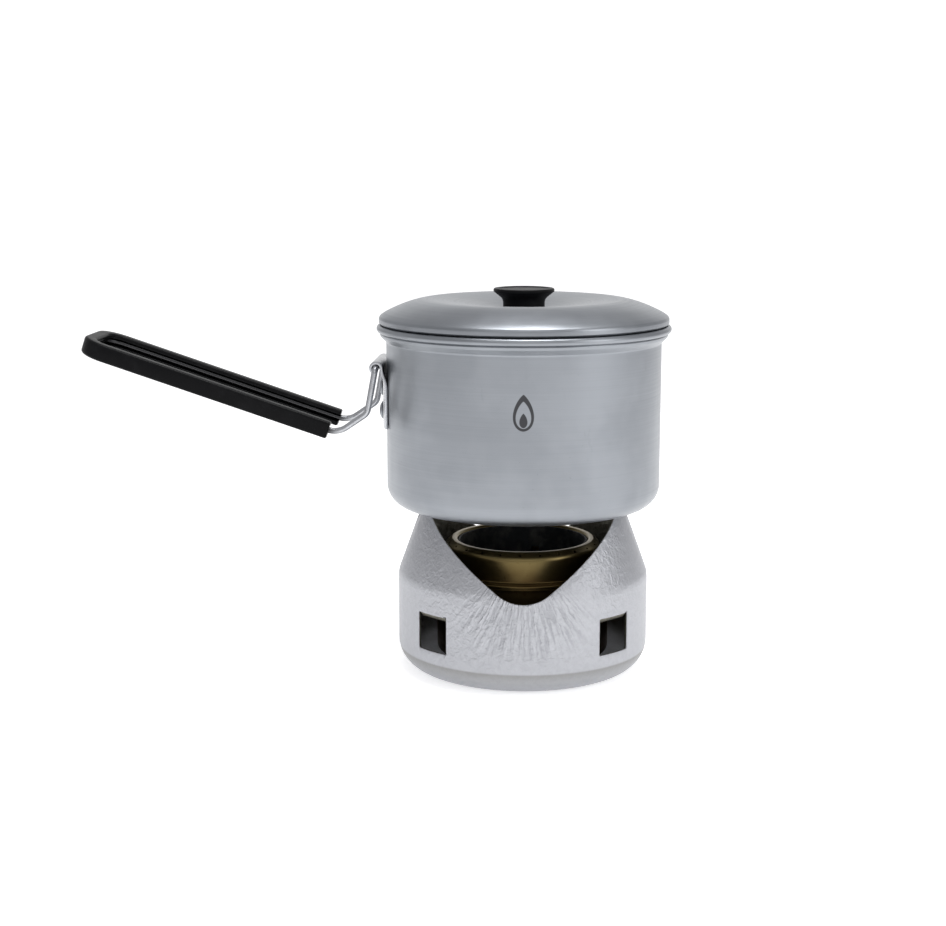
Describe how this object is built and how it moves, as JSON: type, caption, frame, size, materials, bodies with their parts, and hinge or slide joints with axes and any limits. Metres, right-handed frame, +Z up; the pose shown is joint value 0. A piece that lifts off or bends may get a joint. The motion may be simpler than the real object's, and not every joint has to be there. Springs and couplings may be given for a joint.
{
  "type": "alcohol spirit stove",
  "caption": "Alcohol spirit stove with a notched windshield stand, hanging brass burner, and a pot with a folding wire handle and a knobbed lid.",
  "frame": {"origin": "centre of the stand's flat underside, on the ground", "axes": "+Z up along the axis of the stand, burner, pot and lid; the pot's handle points along -X"},
  "size_m": [0.247, 0.123, 0.1613],
  "materials": {
    "pressed_aluminium": "matt pressed sheet with a fine crinkled grain",
    "spun_aluminium": "satin spun",
    "brass": "heat darkened",
    "wick": "felt",
    "stainless_steel": "bright drawn wire and sheet",
    "black_plastic": "soft sheen"
  },
  "bodies": {
    "stand": {"windshield_stand": "pressed_aluminium"},
    "burner": {"burner_cup": "brass", "burner_upper_shell": "brass", "burner_inner_wall": "brass", "burner_wick": "wick"},
    "pot": {"pot": "spun_aluminium", "handle_bracket": "stainless_steel", "bracket_rivet_lower": "spun_aluminium", "bracket_rivet_upper": "spun_aluminium"},
    "handle": {"handle_wire": "stainless_steel", "grip_sleeve": "black_plastic"},
    "lid": {"lid": "spun_aluminium", "knob": "black_plastic", "knob_washer": "stainless_steel", "knob_screw": "stainless_steel"}
  },
  "joints": [
    {"name": "burner_lift", "type": "slide", "parent": "stand", "child": "burner", "axis": [0, 0, 1], "range_m": [0, 0.014]},
    {"name": "pot_lift", "type": "slide", "parent": "stand", "child": "pot", "axis": [0, 0, 1], "range_m": [0, 0.09]},
    {"name": "handle_fold", "type": "hinge", "parent": "pot", "child": "handle", "pos_m": [-0.0606, 0, 0.129], "axis": [0, 1, 0], "range_deg": [0, 156]},
    {"name": "lid_lift", "type": "slide", "parent": "pot", "child": "lid", "axis": [0, 0, 1], "range_m": [0, 0.08]}
  ]
}
